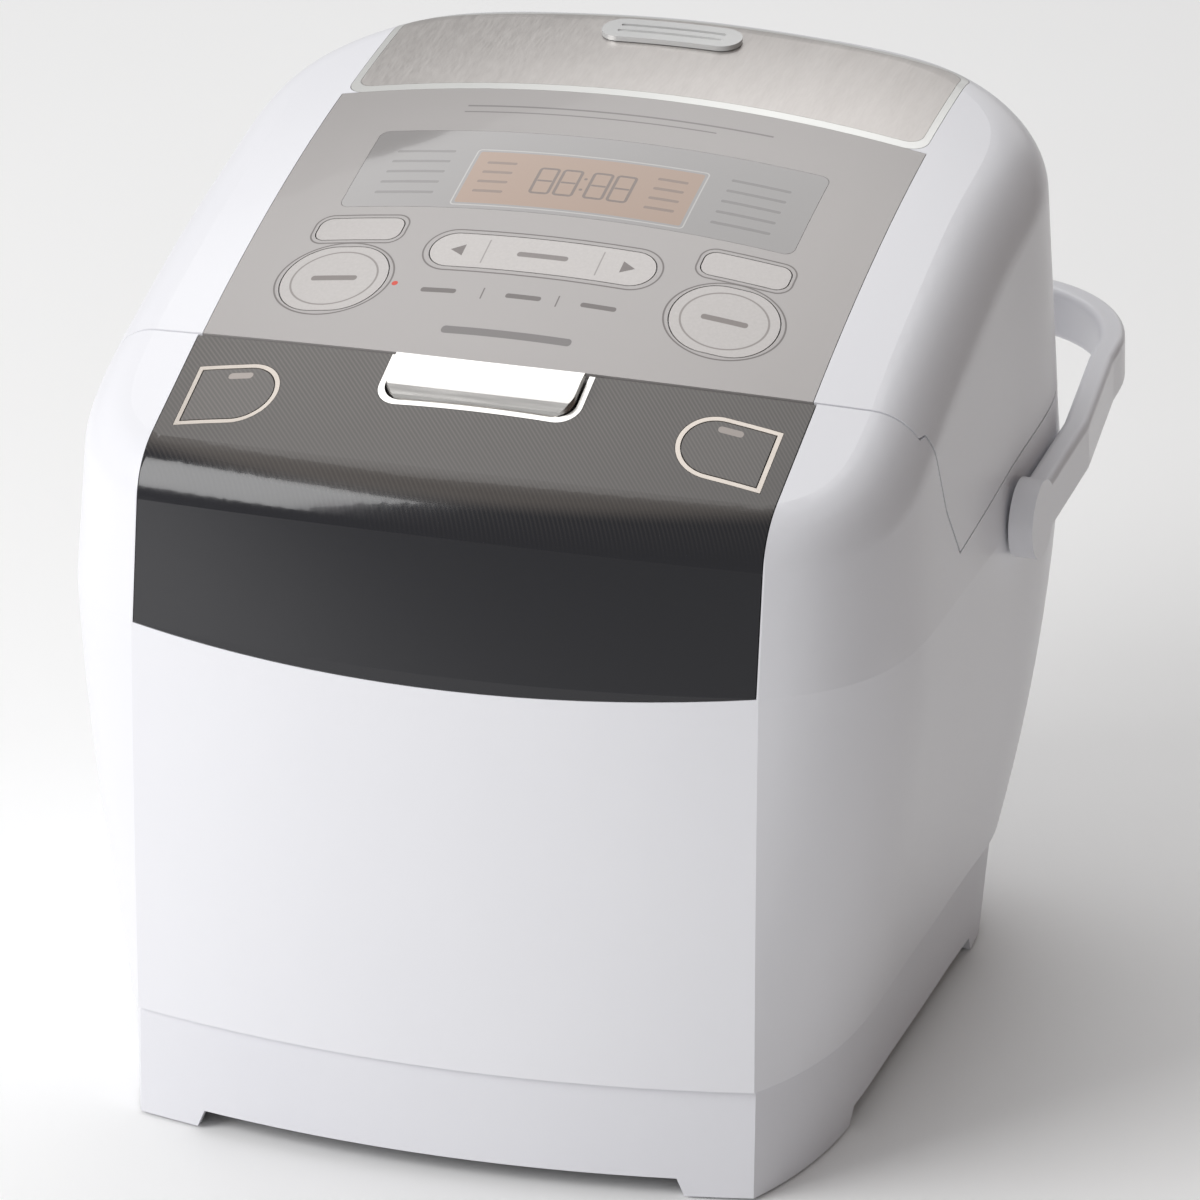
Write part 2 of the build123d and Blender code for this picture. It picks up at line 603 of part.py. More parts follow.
FAN_R = 21.0
fan_box = box(FAN_X - 24, FAN_X + 24, FAN_DEPTH - 24, FAN_DEPTH + 24, PLATE_Z + 2.7, 21.0)
fan_box = fan_box - rod(FAN_X, FAN_DEPTH, 0, 40, FAN_R + 1.4)
strut = box(FAN_X - 23, FAN_X + 23, FAN_DEPTH - 2, FAN_DEPTH + 2, PLATE_Z + 2.7, 9.4)
hub = rod(FAN_X, FAN_DEPTH, PLATE_Z + 2.7, 9.4, 9.0) + rod(FAN_X, FAN_DEPTH, 9.0, 19.0, 1.5)
save(first(first(fan_box) + first(first(hub) + strut)), "fan_frame")
rotor = rod(FAN_X, FAN_DEPTH, 10.2, 20.0, 8.0)
for i in range(7):
    blade = box(6.5, FAN_R, -1.0, 1.0, -4.2, 4.2)
    blade = blade.rotate(Axis.X, 35).moved(Location((0, 0, 15.2)))
    blade = blade.rotate(Axis.Z, 360 * i / 7)
    rotor = rotor + blade.moved(Location((FAN_X, FAN_DEPTH, 0)))
rotor = first(rotor) - rod(FAN_X, FAN_DEPTH, 5, 30, 1.5 + PIN_FIT)
save(first(rotor), "fan_rotor")

board = box(-52, 52, 40, 92, 14.0, 15.6)
for x, d, w, l, h in ((-38, 66, 9, 9, 11), (-20, 66, 6, 6, 13), (-4, 60, 5, 8, 9),
                      (14, 70, 8, 6, 8), (34, 64, 7, 11, 7), (46, 84, 4, 5, 7)):
    board = board + box(x - w, x + w, d - l, min(d + l, 91), 15.5, 15.6 + h)
for x, d in ((-48, 44), (48, 44), (-48, 88), (24, 88)):
    board = board + rod(x, d, PLATE_Z + 2.6, 14.1, 2.6)
save(first(board), "power_board")
sink = box(4, 44, 198, 230, PLATE_Z + 2.7, 11)
for i in range(8):
    sink = sink + box(5 + 5.2 * i, 6.6 + 5.2 * i, 198, 230, 10.9, 22)
save(first(sink), "heat_sink")

# ---------------------------------------------------------------- lid shell and its panel
PANEL_BACK = 183.4       # where the control panel ends
PLATE_BACK = 233.5       # where the steel plate ends
PLATE_HALF = 85.2        # half-width of the steel plate
TRIM_W = 3.6             # light strip in front of the steel plate
RAIL_W = 2.2             # and beside it
WINDOW = (0.0, 141.0, 67.3, 18.8)     # display window: x, depth, half-width, half-depth
STEAM_SPOT = (0.0, 222.0)
STEAM_HALF = 21.2
STEAM_DEPTH_HALF = 6.2


def panel_plan(shrink, z0=180, z1=300):
    """Plan of the control panel, reaching past the lid's front edge."""
    front = 89.4 - shrink
    back = 88.2 - shrink
    return upright([(-front, 50), (front, 50), (back, PANEL_BACK - shrink),
                    (-back, PANEL_BACK - shrink)], z0, z1)


def plate_plan(shrink, z0=180, z1=300):
    """Plan of the steel plate with rounded rear corners."""
    middle = (PANEL_BACK + TRIM_W + PLATE_BACK) / 2
    half_d = (PLATE_BACK - PANEL_BACK - TRIM_W) / 2
    return rounded_slab(PLATE_HALF - shrink, half_d - shrink, 5, z0, z1, 0, middle)


def trim_plan(shrink, z0=180, z1=300):
    """Plan of the trim frame, outer edge."""
    middle = (PANEL_BACK + PLATE_BACK + RAIL_W) / 2
    half_d = (PLATE_BACK + RAIL_W - PANEL_BACK) / 2 - 0.1
    return rounded_slab(PLATE_HALF + RAIL_W - shrink, half_d - shrink, 6, z0, z1, 0, middle)


lid_outer = first(outer_top - zone_lid_gap)
lid_shell = lid_outer - inner_top
pocket = panel_plan(-0.2) - under_top(PANEL_T + 0.1)
lid_shell = lid_shell - pocket
lid_shell = lid_shell - (trim_plan(-0.15) - envelope_top(PANEL_T + 0.1))
KEYS = {                 # x, depth, half-width, half-depth, corner radius
    "menu_key": (-57.1, 112.0, 12.6, 4.7, 3.4),
    "rice_key": (57.1, 112.0, 12.6, 4.7, 3.4),
    "keep_warm_key": (-57.4, 90.9, 15.5, 13.0, 12.9),
    "cook_key": (57.4, 90.9, 15.5, 13.0, 12.9),
    "select_key": (0.0, 104.0, 33.0, 6.9, 6.8),
}


def key_slab(name, shrink, z0=180, z1=300):
    """Upright slab with a lid key's plan."""
    x, d, half_x, half_d, radius = KEYS[name]
    return rounded_slab(half_x - shrink, half_d - shrink, radius - shrink, z0, z1, x, d)


for name in KEYS:
    lid_shell = lid_shell - key_slab(name, 1.8)
lid_shell = lid_shell - rounded_slab(60, 17.4, 3, 180, 300, WINDOW[0], WINDOW[1])
lid_shell = lid_shell - rounded_slab(16, 4.0, 3.9, 180, 300, *STEAM_SPOT)
lid_shell = lid_shell - hinge_room
for x in HINGE_SCREWS[1:3]:
    lid_shell = lid_shell - Solid.make_cylinder(
        1.6, 20, Plane((x, BODY_REAR - 13, 191), z_dir=(0, 1, 0)))
lid_shell = first(lid_shell)
save(lid_shell, "lid_shell")

lid_skin = lid_outer - skin_top
lid_panel = lid_skin & panel_plan(0)
for name in KEYS:
    lid_panel = lid_panel - key_slab(name, -KEY_GAP)
window_plan = rounded_slab(WINDOW[2], WINDOW[3], 3, 180, 300, WINDOW[0], WINDOW[1])
lid_panel = lid_panel - rounded_slab(WINDOW[2] + 0.1, WINDOW[3] + 0.1, 3, 180, 300,
                                     WINDOW[0], WINDOW[1])
save(first(lid_panel), "control_panel")
save(first(lid_skin & window_plan), "display_window")

for name in KEYS:
    cap = (lid_outer - thin_top) & key_slab(name, 0)
    x, d = KEYS[name][:2]
    surface = top_height(x, d)
    stem = rod(x, d, surface - 5.7, surface - 1.0, 2.5)
    save(first(first(cap) + stem), name)

trim = (lid_outer - skin_top) & (trim_plan(0) - plate_plan(-0.1))
save(first(trim), "plate_trim")
plate = ((lid_outer - skin_top) & plate_plan(0)) - rounded_slab(16.3, 4.3, 4.2, 180, 300, *STEAM_SPOT)
save(first(plate), "steel_plate")

# ---------------------------------------------------------------- steam vent
proud = Solid.extrude(Face.make_surface_from_array_of_points(
    [[Vector(-40 + 20 * i, 200 + 12 * j, top_height(-40 + 20 * i, 200 + 12 * j) + 1.6)
      for j in range(4)] for i in range(5)], tol=0.01), Vector(0, 0, -30))
cap = proud & rounded_slab(STEAM_HALF, STEAM_DEPTH_HALF, 6.1, 230, 300, *STEAM_SPOT)
cap = first(cap) - under_top(-0.15)
cap = first(cap)
for offset in (-1.9, 1.9):
    cap = cap - rounded_slab(16, 0.7, 0.65, 264.1, 300, STEAM_SPOT[0], STEAM_SPOT[1] + offset)
cap = first(cap) + rounded_slab(14, 3.4, 3.3, 254, 263.9, *STEAM_SPOT)
save(first(cap), "steam_cap")
DUCT_R = 9.0
RECESS_Z = 176.0         # height of the liner's recess over the pot
duct = rod(*STEAM_SPOT, RECESS_Z + DECK_T + 0.2, 252, DUCT_R)
duct = duct - rod(*STEAM_SPOT, RECESS_Z - 2, 260, DUCT_R - 1.6)
save(first(duct), "steam_duct")

# ---------------------------------------------------------------- lid underside
RECESS_R = 88.8          # outer radius of the recess over the pot
LINER_GAP = 1.4          # gap between the liner and the body as the lid swings
LINER_Z = DECK_Z + 3.0
liner_zone = body_side(-LINER_GAP - DECK_T, LINER_Z) - body_side(-LINER_GAP, LINER_Z)
liner = first(liner_zone & snug_top)
liner = liner & box(5 - BODY_HALF, BODY_HALF - 5, 55, BODY_REAR - 7, 150, 300)
liner = liner - rod(0, POT_DEPTH, 150, 175, RECESS_R)
recess = turned([(RECESS_R - DECK_T, LINER_Z + LINER_GAP), (RECESS_R, LINER_Z + LINER_GAP),
                 (RECESS_R, RECESS_Z + DECK_T),
                 (0, RECESS_Z + DECK_T), (0, RECESS_Z), (RECESS_R - DECK_T, RECESS_Z)])
liner = first(liner) + recess
liner = first(liner) - rod(*STEAM_SPOT, 170, 185, 5.0)
liner = liner - box(-HOOK_HALF - 1.5, HOOK_HALF + 1.5, 55, 68, 183, 203)
save(first(liner), "lid_liner")

inner_lid = turned([(0, 168.5), (70, 168.5), (78, 166.0), (85.3, 166.0), (85.3, 167.2), (78.5, 167.2),
                    (70.5, 169.7), (0, 169.7)])
inner_lid = inner_lid - rod(*STEAM_SPOT, 160, 180, 4.0)
for i in range(6):
    angle = math.radians(60 * i)
    inner_lid = inner_lid - rod(40 * math.cos(angle), POT_DEPTH + 40 * math.sin(angle), 160, 180, 2)
save(first(inner_lid), "inner_lid")
gasket = turned([(80.5, 162.8), (82, 162.4), (83.5, 162.8), (85.2, 165.9), (79, 165.9)])
save(gasket, "lid_gasket")
studs = []
for i in range(3):
    angle = math.radians(120 * i + 90)
    studs.append(rod(55 * math.cos(angle), POT_DEPTH + 55 * math.sin(angle), 169.8, RECESS_Z - 0.1, 4))
save(Compound(studs), "inner_lid_magnets")

catch = box(-10, 10, 65.4, 68.0, 180, 206) - box(-7, 7, 60, 70, 190.6, 197)
catch = catch + box(-5, 5, 62.0, 66.0, 187.5, 190.6)
save(first(catch), "lid_catch")

# ---------------------------------------------------------------- lid electronics
lcd = rounded_slab(34.5, 12.8, 0.6, -2.0, 2.0, 0, 0)
lid_tilt = math.degrees(math.atan(LID_SLOPE - 2 * LID_BEND * (136.5 - SEAM_DEPTH)))
lcd = lcd.rotate(Axis.X, lid_tilt).moved(
    Location((0, 137.6, centre_height(137.6) - PANEL_T - 4.0)))
save(lcd, "display_module")
lid_board = box(-70, 70, -40, 30, -0.8, 0.8)
for name in KEYS:
    x, d = KEYS[name][:2]
    lid_board = lid_board + box(x - 3, x + 3, d - 118.5, d - 112.5, 0.7, 4.0)
lid_board = first(lid_board).rotate(Axis.X, lid_tilt).moved(
    Location((0, 118.0, centre_height(118.0) - 16.5)))
save(lid_board, "lid_board")
posts = []
for x in (-64.0, 64.0):
    posts.append(rod(x, 98, RECESS_Z + DECK_T + 0.2, centre_height(98) - 17.3, 3.0))
save(Compound(posts), "lid_board_posts")

lid_leaf = leaf(-LID_KNUCKLE + 0.5, LID_KNUCKLE - 0.5, HINGE_Z, 198)
lid_leaf = lid_leaf + cross_rod(-LID_KNUCKLE, LID_KNUCKLE, HINGE_DEPTH, HINGE_Z, KNUCKLE_R)
lid_leaf = first(lid_leaf) - cross_rod(-80, 80, HINGE_DEPTH, HINGE_Z, HINGE_PIN_R + PIN_FIT)
for x in HINGE_SCREWS[1:3]:
    lid_leaf = lid_leaf - Solid.make_cylinder(1.7, 10, Plane((x, BODY_REAR - 4, 191), z_dir=(0, 1, 0)))
save(first(lid_leaf), "lid_hinge_leaf")
save(Compound([rear_screw(x, 191, REAR_WALL) for x in HINGE_SCREWS[1:3]]), "lid_hinge_screws")
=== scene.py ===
"""Looks of a sloping-lid rice cooker: printed panels, brushed plate, satin mouldings, soft light."""

import math

import bpy
from mathutils import Matrix, Vector

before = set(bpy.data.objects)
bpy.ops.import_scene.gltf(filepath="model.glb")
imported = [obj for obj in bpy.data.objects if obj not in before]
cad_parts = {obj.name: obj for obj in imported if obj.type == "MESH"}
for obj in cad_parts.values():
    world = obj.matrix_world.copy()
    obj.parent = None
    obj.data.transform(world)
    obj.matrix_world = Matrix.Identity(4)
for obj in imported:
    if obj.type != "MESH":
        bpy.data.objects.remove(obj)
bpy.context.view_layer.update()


# ------------------------------------------------------------------ shader words
class Value:
    """A shader socket that can be used in ordinary sums."""

    def __init__(self, paint, socket):
        self.paint = paint
        self.socket = socket

    def join(self, operation, other, swapped=False, third=None):
        node = self.paint.tree.nodes.new("ShaderNodeMath")
        node.operation = operation
        first, second = (other, self) if swapped else (self, other)
        self.paint.feed(node.inputs[0], first)
        self.paint.feed(node.inputs[1], second)
        if third is not None:
            self.paint.feed(node.inputs[2], third)
        return Value(self.paint, node.outputs[0])

    def __add__(self, other):
        return self.join("ADD", other)

    __radd__ = __add__

    def __sub__(self, other):
        return self.join("SUBTRACT", other)

    def __rsub__(self, other):
        return self.join("SUBTRACT", other, swapped=True)

    def __mul__(self, other):
        return self.join("MULTIPLY", other)

    __rmul__ = __mul__

    def __truediv__(self, other):
        return self.join("DIVIDE", other)

    def __rtruediv__(self, other):
        return self.join("DIVIDE", other, swapped=True)

    def __abs__(self):
        return self.join("ABSOLUTE", 0.0)

    def below(self, other):
        return self.join("LESS_THAN", other)

    def above(self, other):
        return self.join("GREATER_THAN", other)

    def most(self, other):
        return self.join("MAXIMUM", other)

    def root(self):
        return self.join("SQRT", 0.0)

    def cell(self, width):
        """Distance from the middle of repeating cells of this width."""
        return abs(self.join("WRAP", width / 2, third=-width / 2))

    def power(self, exponent):
        return self.join("POWER", exponent)

    def soft_step(self, low, high):
        node = self.paint.tree.nodes.new("ShaderNodeMapRange")
        node.interpolation_type = "SMOOTHSTEP"
        self.paint.feed(node.inputs["Value"], self)
        node.inputs["From Min"].default_value = low
        node.inputs["From Max"].default_value = high
        return Value(self.paint, node.outputs["Result"])


class Paint:
    """One material under construction; x, y, z are the part's own coordinates in metres."""

    def __init__(self, name, roughness=0.4, metallic=0.0, **settings):
        self.material = bpy.data.materials.new(name)
        self.material.use_nodes = True
        self.tree = self.material.node_tree
        self.surface = self.tree.nodes["Principled BSDF"]
        self.surface.inputs["Roughness"].default_value = roughness
        self.surface.inputs["Metallic"].default_value = metallic
        for key, value in settings.items():
            self.surface.inputs[key.replace("_", " ")].default_value = value
        self.place = self.node("ShaderNodeTexCoord").outputs["Object"]
        split = self.node("ShaderNodeSeparateXYZ", {}, {"Vector": self.place})
        self.x, self.y, self.z = (Value(self, out) for out in split.outputs)

    def feed(self, socket, value):
        if isinstance(value, Value):
            self.tree.links.new(value.socket, socket)
        elif isinstance(value, bpy.types.NodeSocket):
            self.tree.links.new(value, socket)
        else:
            socket.default_value = value

    def node(self, kind, settings=None, inputs=None):
        made = self.tree.nodes.new(kind)
        for key, value in (settings or {}).items():
            setattr(made, key, value)
        for key, value in (inputs or {}).items():
            self.feed(made.inputs[key], value)
        return made

    def noise(self, scale, detail=2.0, stretch=(1, 1, 1)):
        mapped = self.node("ShaderNodeMapping", {}, {"Vector": self.place, "Scale": stretch})
        made = self.node("ShaderNodeTexNoise", {}, {
            "Vector": mapped.outputs["Vector"], "Scale": scale, "Detail": detail})
        return Value(self, made.outputs["Fac"])

    def mix(self, amount, first, second):
        made = self.node("ShaderNodeMix", {"data_type": "RGBA"}, {0: amount})
        for socket, tone in ((made.inputs[6], first), (made.inputs[7], second)):
            self.feed(socket, (*tone, 1) if isinstance(tone, tuple) else tone)
        return made.outputs[2]

    def colour(self, socket):
        self.feed(self.surface.inputs["Base Color"], socket)

    def rough(self, value):
        self.feed(self.surface.inputs["Roughness"], value)

    def bump(self, height, strength=0.1, distance=0.0002):
        made = self.node("ShaderNodeBump", {}, {
            "Height": height, "Strength": strength, "Distance": distance})
        self.feed(self.surface.inputs["Normal"], made.outputs["Normal"])

    def on(self, *names):
        for name in names:
            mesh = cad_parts[name].data
            mesh.materials.clear()
            mesh.materials.append(self.material)


FRONT = 0.1535           # the frame's y plus this is the depth behind the base's front


def linear(red, green, blue):
    """Display colour, 0 to 255, as the linear values shaders use."""
    def one(v):
        v = v / 255
        return v / 12.92 if v < 0.04045 else ((v + 0.055) / 1.055) ** 2.4
    return (one(red), one(green), one(blue))


def rounded_box(u, v, middle_u, middle_v, half_u, half_v, radius):
    """Signed distance to a rounded rectangle: negative inside."""
    a = (abs(u - middle_u) - (half_u - radius)).most(0.0)
    b = (abs(v - middle_v) - (half_v - radius)).most(0.0)
    return (a * a + b * b).root() - radius


def stroke(distance, width, blur=0.00012):
    """1 on a line of this width along distance = 0, with a soft edge."""
    return 1 - abs(distance).soft_step(width / 2 - blur, width / 2 + blur)


def fill(distance, blur=0.00012):
    """1 where distance is negative."""
    return 1 - distance.soft_step(-blur, blur)


# ------------------------------------------------------------------ white mouldings
# Satin white shell, lid, base skirt and handle: injection-moulded, with a faint grain.
white = Paint("satin_white", 0.32, Coat_Weight=0.25, Coat_Roughness=0.2)
cloud = white.noise(9, 3)
white.colour(white.mix(cloud, linear(228, 228, 233), linear(234, 234, 238)))
white.rough(0.27 + 0.1 * cloud)
white.bump(white.noise(2600, 1), 0.05, 0.00005)
white.on("body_shell", "lid_shell", "handle")

skirt = Paint("skirt_white", 0.38)
speckle = skirt.noise(14, 3)
dust = (0.012 - skirt.z).soft_step(0.0, 0.012)
skirt.colour(skirt.mix(speckle, linear(222, 222, 228), linear(229, 229, 233)))
skirt.rough(0.34 + 0.1 * speckle + 0.05 * dust)
skirt.bump(skirt.noise(2200, 1), 0.08, 0.00006)
skirt.on("base_skirt")

pivot = Paint("pivot_grey", 0.5)
pivot.colour(pivot.mix(pivot.noise(60), linear(150, 150, 152), linear(162, 162, 163)))
pivot.on("handle_pivots")

# ------------------------------------------------------------------ dark sloping front
# Gloss black moulding; a fine slanting hatch is printed near the top and fades downwards.
dark = Paint("dark_front", 0.16, Coat_Weight=0.3, Coat_Roughness=0.05)
facet = dark.z.soft_step(0.1955, 0.1995)
slant = (dark.x + 0.9 * dark.y).cell(0.0014)
dots = stroke(slant, 0.0006) * (dark.z - 0.150).soft_step(0.035, 0.066)
base = dark.mix(facet, linear(10, 10, 19), linear(66, 61, 58))
dark.colour(dark.mix(dots * 0.3, base, linear(120, 113, 106)))
dark.rough(0.14 + 0.16 * facet + 0.06 * dark.noise(30))
dark.on("front_panel")

front_key = Paint("front_key", 0.28, Coat_Weight=0.3)
key_dot = stroke((front_key.x + 0.9 * front_key.y).cell(0.0014), 0.0006)
pad = fill(rounded_box(abs(front_key.x), front_key.y, 0.0713, -0.1006, 0.0036, 0.0011, 0.0010))
front_key.colour(front_key.mix(pad, front_key.mix(key_dot * 0.25, linear(74, 69, 66),
                               linear(125, 118, 110)), linear(158, 148, 142)))
front_key.on("weigh_key", "calorie_key")

ring = Paint("silver_ring", 0.3, 0.8)
ring.colour(ring.mix(ring.noise(120), linear(176, 168, 160), linear(196, 188, 180)))
ring.on("front_key_rings")

# ------------------------------------------------------------------ latch
# Satin-chromed push button in a bright surround.
chrome = Paint("satin_chrome", 0.2, 1.0)
brushed = chrome.noise(900, 2, (0.06, 1, 1))
chrome.colour(chrome.mix(brushed, linear(205, 203, 200), linear(226, 224, 221)))
chrome.rough(0.16 + 0.14 * brushed)
chrome.on("latch_button", "latch_bezel")

# ------------------------------------------------------------------ control panel
# Silver-grey printed film with thin line art: separators, arrows and light bars.
film = Paint("panel_film", 0.36, 0.25, Coat_Weight=0.15)
x, y = film.x, film.y
depth = y + FRONT
light = film.mix(film.noise(6), linear(163, 159, 158), linear(171, 167, 165))
marks = 0.0
for middle_x, middle_d, half_x, half_d, radius in (
        (0, 0.104, 0.0350, 0.0086, 0.0085), (-0.0571, 0.112, 0.0140, 0.0062, 0.0045),
        (0.0571, 0.112, 0.0140, 0.0062, 0.0045)):
    edge = rounded_box(x, depth, middle_x, middle_d, half_x, half_d, radius)
    marks = stroke(edge, 0.0005).most(marks)
for side in (-1, 1):
    edge = (((x - side * 0.0574) / 0.0172).power(2.0)
            + ((depth - 0.0909) / 0.0147).power(2.0)).root() - 1
    marks = stroke(edge * 0.016, 0.0005).most(marks)
for middle_x in (-0.025, 0.0, 0.022):
    edge = rounded_box(x, depth, middle_x, 0.087, 0.0052, 0.0009, 0.0008)
    marks = fill(edge).most(marks)
for middle_x in (-0.012, 0.010):
    edge = rounded_box(x, depth, middle_x, 0.087, 0.0002, 0.0022, 0.0002)
    marks = fill(edge).most(marks)
neutral_bar = fill(rounded_box(x, depth, 0, 0.0722, 0.019, 0.0014, 0.0012))
notice = fill(rounded_box(x, depth, 0, 0.1735, 0.046, 0.0004, 0.0003)).most(
    fill(rounded_box(x, depth, -0.008, 0.1702, 0.038, 0.0003, 0.0003)))
ink = marks * 0.85
painted = film.mix(ink, light, linear(92, 86, 84))
painted = film.mix((neutral_bar * 0.7).most(notice * 0.55), painted, linear(86, 82, 82))
lamp = fill(((x + 0.0386).power(2.0) + (depth - 0.089).power(2.0)).root() - 0.0009)
film.colour(film.mix(lamp, painted, linear(196, 60, 40)))
film.rough(0.33 + 0.08 * film.noise(1400, 1))
film.bump(film.noise(3000, 1), 0.04, 0.00004)
film.on("control_panel")

trim = Paint("light_trim", 0.28, 0.5)
trim.colour(trim.mix(trim.noise(40), linear(210, 210, 208), linear(220, 220, 217)))
trim.on("plate_trim")

# ------------------------------------------------------------------ keys on the lid
# Slightly lighter silver caps with a satin face.
key = Paint("key_silver", 0.34, 0.3)
grain = key.noise(1200, 1)
key.colour(key.mix(grain, linear(176, 172, 170), linear(186, 182, 180)))
key.bump(grain, 0.05, 0.00004)
key.on("menu_key", "rice_key")

oval = Paint("oval_key", 0.3, 0.3)
u = abs(oval.x) - 0.0574
v = oval.y + FRONT - 0.0909
around = ((u * u) + (v * v * 1.35)).root()
band = stroke(around - 0.0125, 0.0006)
bar = fill(rounded_box(u, v, 0.0, 0.0, 0.0068, 0.0010, 0.0009))
tone = oval.mix(oval.noise(1200, 1), linear(172, 168, 166), linear(182, 178, 176))
oval.colour(oval.mix((band * 0.6).most(bar * 0.75), tone, linear(96, 88, 84)))
oval.on("keep_warm_key", "cook_key")

rocker = Paint("select_key", 0.3, 0.3)
u = abs(rocker.x)
v = rocker.y + FRONT - 0.104
tip = (0.0272 - u).above(0.0) * (u - 0.0232).above(0.0) * (abs(v) - (0.0272 - u) * 0.6).below(0.0)
bar = fill(rounded_box(u, v, 0.0, 0.0, 0.0075, 0.0010, 0.0009))
divide = fill(rounded_box(u, v, 0.0168, 0.0, 0.0002, 0.0050, 0.0002))
tone = rocker.mix(rocker.noise(1200, 1), linear(176, 172, 170), linear(186, 182, 180))
rocker.colour(rocker.mix((tip * 0.8).most(bar * 0.7).most(divide * 0.5), tone, linear(88, 80, 78)))
rocker.on("select_key")

# ------------------------------------------------------------------ display
# Tinted window with the display glass printed as a lighter field, and plain segment bars.
glass = Paint("window_tint", 0.08, Coat_Weight=0.5, Coat_Roughness=0.03)
u = glass.x
v = glass.y + FRONT
field = fill(rounded_box(u, v, 0.0, 0.1370, 0.0335, 0.0122, 0.0008), 0.0002)
frame_line = stroke(rounded_box(u, v, 0.0, 0.1370, 0.0345, 0.0132, 0.0012), 0.0004)
segments = 0.0
for place in (-0.0105, -0.0035, 0.0055, 0.0125):
    outer = rounded_box(u, v, place, 0.1370, 0.0027, 0.0058, 0.0009)
    bars = stroke(outer, 0.0009).most(fill(rounded_box(u, v, place, 0.1370, 0.0022, 0.0004, 0.0003)))
    segments = bars.most(segments)
for place in (0.1345, 0.1395):
    segments = fill(rounded_box(u, v, 0.0010, place, 0.0005, 0.0005, 0.0004)).most(segments)
for side in (-1, 1):
    for row in (0.1305, 0.1350, 0.1395, 0.1440):
        bar = fill(rounded_box(u, v, side * 0.0255, row, 0.0045, 0.0006, 0.0005))
        segments = (bar * 0.7).most(segments)
side_rows = 0.0
for side in (-1, 1):
    for row in (0.1290, 0.1340, 0.1390, 0.1440, 0.1490):
        bar = fill(rounded_box(u, v, side * 0.0500, row, 0.0088, 0.0006, 0.0005))
        side_rows = bar.most(side_rows)
base = glass.mix(glass.noise(5), linear(143, 140, 139), linear(149, 146, 145))
base = glass.mix(side_rows * 0.6, base, linear(98, 94, 93))
base = glass.mix(frame_line * 0.7, base, linear(196, 194, 192))
screen = glass.mix(segments * 0.8, linear(160, 132, 112), linear(84, 68, 60))
glass.colour(glass.mix(field, base, screen))
glass.on("display_window")

# ------------------------------------------------------------------ steel plate and vent
# Brushed front to back, clear lacquered.
steel = Paint("brushed_steel", 0.34, 0.85)
hair = steel.noise(1500, 3, (1, 0.012, 1))
streak = steel.noise(260, 2, (1, 0.01, 1))
steel.colour(steel.mix(hair * 0.6 + streak * 0.4, linear(172, 167, 164), linear(204, 200, 197)))
steel.rough(0.26 + 0.22 * hair)
steel.bump(hair, 0.12, 0.00004)
steel.on("steel_plate")

vent = Paint("vent_silver", 0.26, 0.35)
vent.colour(vent.mix(vent.noise(50), linear(206, 206, 206), linear(220, 220, 219)))
vent.on("steam_cap")

# ------------------------------------------------------------------ hardware and hidden pieces
# Each kind of plain material gets its own grain: mouldings, rubber, metals, boards, copper.
def plain(name, low, high, rough, metallic, scale, stretch, nodes, relief=0.05):
    """Two close tones joined by grain, with matching roughness and relief."""
    paint = Paint(name, rough, metallic)
    grain = paint.noise(scale, 3, stretch)
    paint.colour(paint.mix(grain, linear(*low), linear(*high)))
    paint.rough(rough - 0.06 + 0.12 * grain)
    paint.bump(grain, relief, 0.0001)
    paint.on(*nodes)


EVEN = (1, 1, 1)
plain("foot_rubber", (30, 30, 31), (44, 44, 45), 0.8, 0, 900, EVEN, ["rubber_feet", "cord_gland"])
plain("base_grey", (150, 150, 152), (160, 160, 162), 0.6, 0, 1400, EVEN, ["base_plate"])
plain("dark_moulding", (52, 52, 54), (62, 62, 64), 0.55, 0, 1400, EVEN,
      ["upper_frame", "heater_cup", "fan_frame", "fan_rotor"])
plain("grey_moulding", (160, 160, 163), (172, 172, 174), 0.5, 0, 1400, EVEN,
      ["lid_liner", "steam_duct", "lid_catch", "lid_board_posts", "sensor_holder", "coil_carrier",
       "latch_hook", "latch_bracket", "latch_spring_seats"])
plain("plated_screw", (160, 158, 152), (192, 190, 184), 0.35, 1, 600, EVEN,
      ["base_screws", "body_hinge_screws", "lid_hinge_screws", "inner_lid_magnets"])
plain("hinge_steel", (150, 150, 150), (184, 183, 181), 0.38, 1, 700, (1, 1, 0.05),
      ["body_hinge_leaf", "lid_hinge_leaf", "hinge_pin", "latch_pin"])
plain("spring_wire", (140, 140, 142), (176, 176, 176), 0.3, 1, 800, EVEN,
      ["latch_springs", "sensor_spring"])
plain("pressed_aluminium", (176, 177, 178), (204, 204, 205), 0.34, 1, 300, (1, 1, 0.05),
      ["inner_lid", "pot_sensor", "weighing_frame", "load_cells", "heat_sink"])
plain("pot_coating", (64, 58, 54), (86, 78, 72), 0.42, 0.5, 1800, EVEN, ["inner_pot"])
plain("copper_winding", (150, 84, 44), (196, 118, 70), 0.35, 1, 900, EVEN, ["induction_coil"])
plain("ferrite", (38, 38, 40), (54, 54, 56), 0.7, 0, 1200, EVEN, ["ferrite_bars"])
plain("silicone", (178, 178, 176), (192, 192, 190), 0.6, 0, 500, EVEN, ["lid_gasket"])
plain("circuit_board", (24, 84, 48), (38, 108, 62), 0.4, 0, 260, EVEN,
      ["power_board", "lid_board", "front_switch_boards", "display_module"])

# ------------------------------------------------------------------ floor, light and camera
# A plain pale table with a soft window-like light from the front left.
floor_paint = Paint("pale_floor", 0.6)
floor_paint.colour(floor_paint.mix(floor_paint.noise(3), linear(250, 250, 250), linear(253, 253, 253)))
bpy.ops.mesh.primitive_plane_add(size=14, location=(0, 3, 0))
floor = bpy.context.object
floor.name = "floor"
floor.data.materials.append(floor_paint.material)

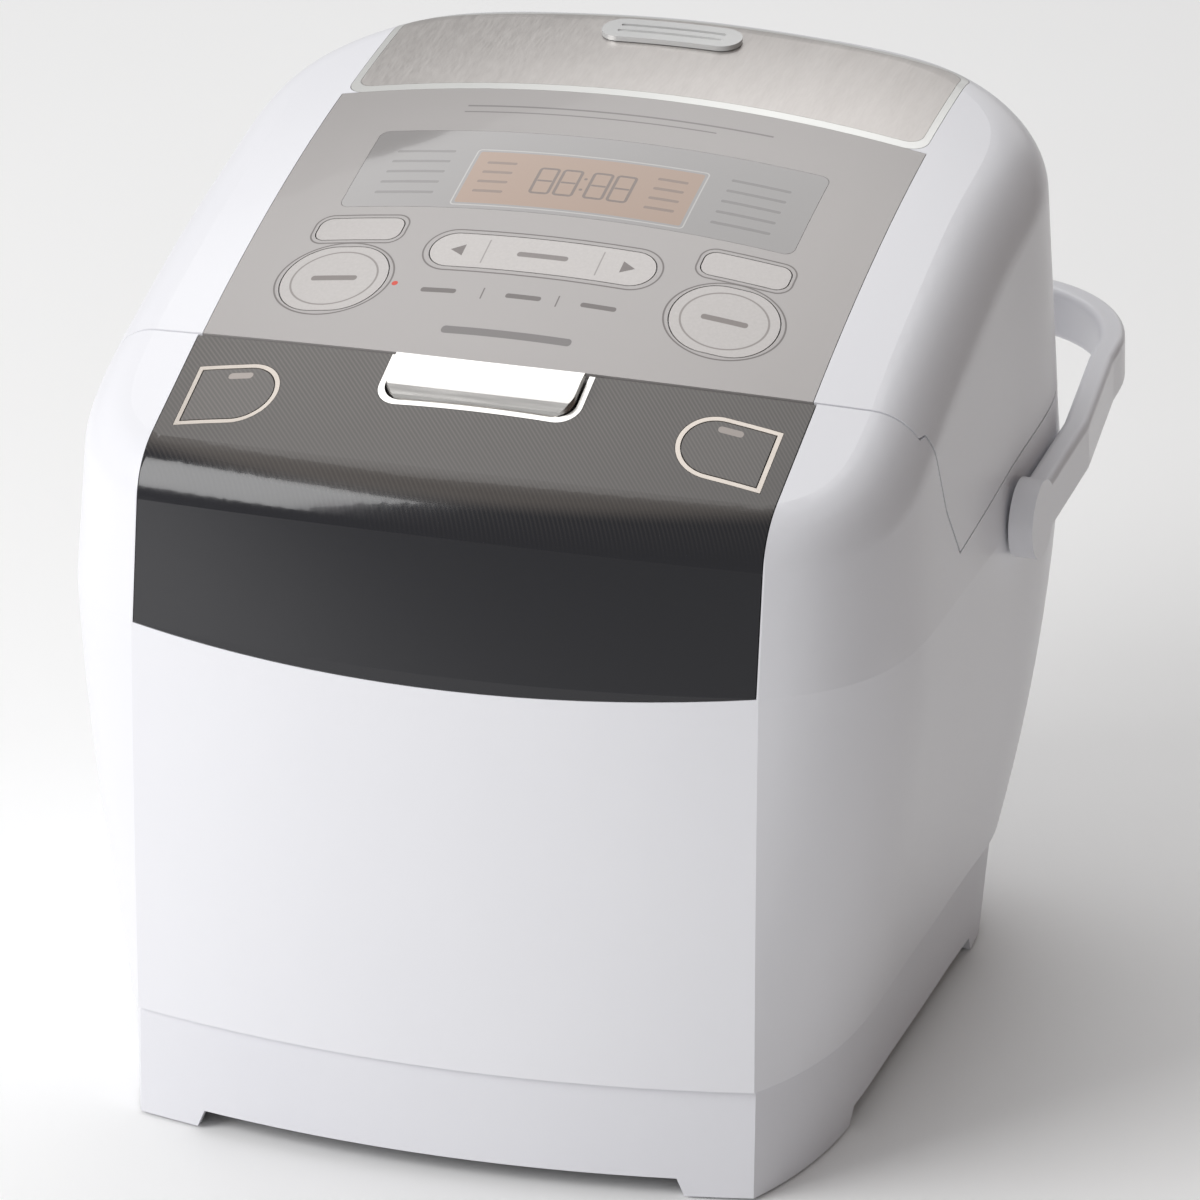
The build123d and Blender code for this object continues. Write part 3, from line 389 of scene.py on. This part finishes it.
# A tall brown card beside the object keeps its right side in warm shade.
card_paint = Paint("shade_card", 0.9)
card_paint.colour(card_paint.mix(card_paint.noise(2), linear(78, 64, 55), linear(86, 71, 61)))
bpy.ops.mesh.primitive_plane_add(size=1, location=(0.72, 0.35, 0.62), rotation=(0, math.pi / 2, 0.18))
card = bpy.context.object
card.name = "shade_card"
card.scale = (1.24, 1.9, 1)
card.data.materials.append(card_paint.material)

world = bpy.data.worlds.new("soft_studio")
bpy.context.scene.world = world
world.use_nodes = True
world.node_tree.nodes["Background"].inputs["Color"].default_value = (1, 1, 1, 1)
world.node_tree.nodes["Background"].inputs["Strength"].default_value = 0.46


def panel_light(name, place, aim, size, power, tint=(1, 1, 1)):
    """A square softbox at place, facing aim."""
    data = bpy.data.lights.new(name, "AREA")
    data.shape = "SQUARE"
    data.size = size
    data.energy = power
    data.color = tint
    lamp = bpy.data.objects.new(name, data)
    bpy.context.scene.collection.objects.link(lamp)
    lamp.location = place
    lamp.rotation_euler = (Vector(aim) - Vector(place)).to_track_quat("-Z", "Y").to_euler()


MIDDLE = (0, 0, 0.14)
panel_light("left_softbox", (-1.3, -1.2, 1.1), MIDDLE, 1.2, 24)
panel_light("top_softbox", (-0.4, 0.7, 1.7), MIDDLE, 1.4, 10)
panel_light("back_strip", (0.2, 1.9, 0.9), MIDDLE, 0.8, 1)

YAW, RISE, ROLL = (math.radians(v) for v in (18.49, 22.5, -0.35))
back = Vector((math.sin(YAW) * math.cos(RISE), -math.cos(YAW) * math.cos(RISE), math.sin(RISE)))
level_right = Vector((math.cos(YAW), math.sin(YAW), 0))
level_up = back.cross(level_right)
right = level_right * math.cos(ROLL) + level_up * math.sin(ROLL)
up = level_up * math.cos(ROLL) - level_right * math.sin(ROLL)
BASE_POINT = Vector((0, -0.1465, 0))
camera_data = bpy.data.cameras.new("camera")
camera_data.lens = 240
camera_data.sensor_width = 36
camera_data.clip_end = 50
camera = bpy.data.objects.new("camera", camera_data)
bpy.context.scene.collection.objects.link(camera)
turn = Matrix((right, up, back)).transposed().to_4x4()
camera.matrix_world = Matrix.Translation(
    BASE_POINT + 0.0462 * level_right + 0.1575 * level_up + 2.24 * back) @ turn
bpy.context.scene.camera = camera
bpy.context.scene.view_settings.view_transform = "Standard"
